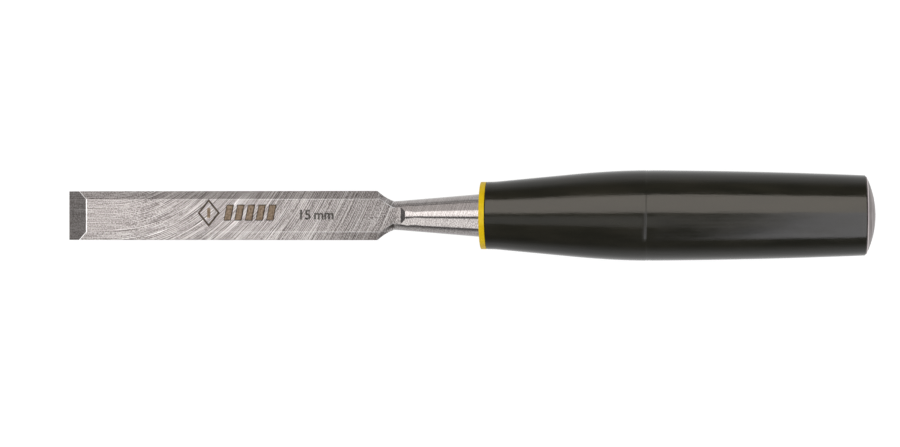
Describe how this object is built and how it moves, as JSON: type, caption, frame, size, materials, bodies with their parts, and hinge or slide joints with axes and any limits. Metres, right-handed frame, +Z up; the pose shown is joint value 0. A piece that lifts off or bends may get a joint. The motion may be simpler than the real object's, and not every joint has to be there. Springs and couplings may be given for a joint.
{
  "type": "bench chisel",
  "caption": "Bevel-edged bench chisel with a tapered neck, a yellow collar, a swelling dark plastic handle and a domed steel strike cap, lying on a bench.",
  "frame": {"origin": "middle of the tool's footprint on the bench, under the centre of its bounding box", "axes": "+X along the tool from the cutting edge to the strike cap, +Y across the blade, +Z up from the bench; the tool's own axis rises 4.4 degrees towards the cap"},
  "size_m": [0.2456, 0.0274, 0.0312],
  "materials": {
    "blade_steel": "ground",
    "collar_yellow": "semi gloss",
    "handle_black": "gloss",
    "cap_steel": "turned"
  },
  "bodies": {
    "root": {"blade": "blade_steel", "collar": "collar_yellow", "handle": "handle_black", "strike_cap": "cap_steel"}
  },
  "joints": []
}
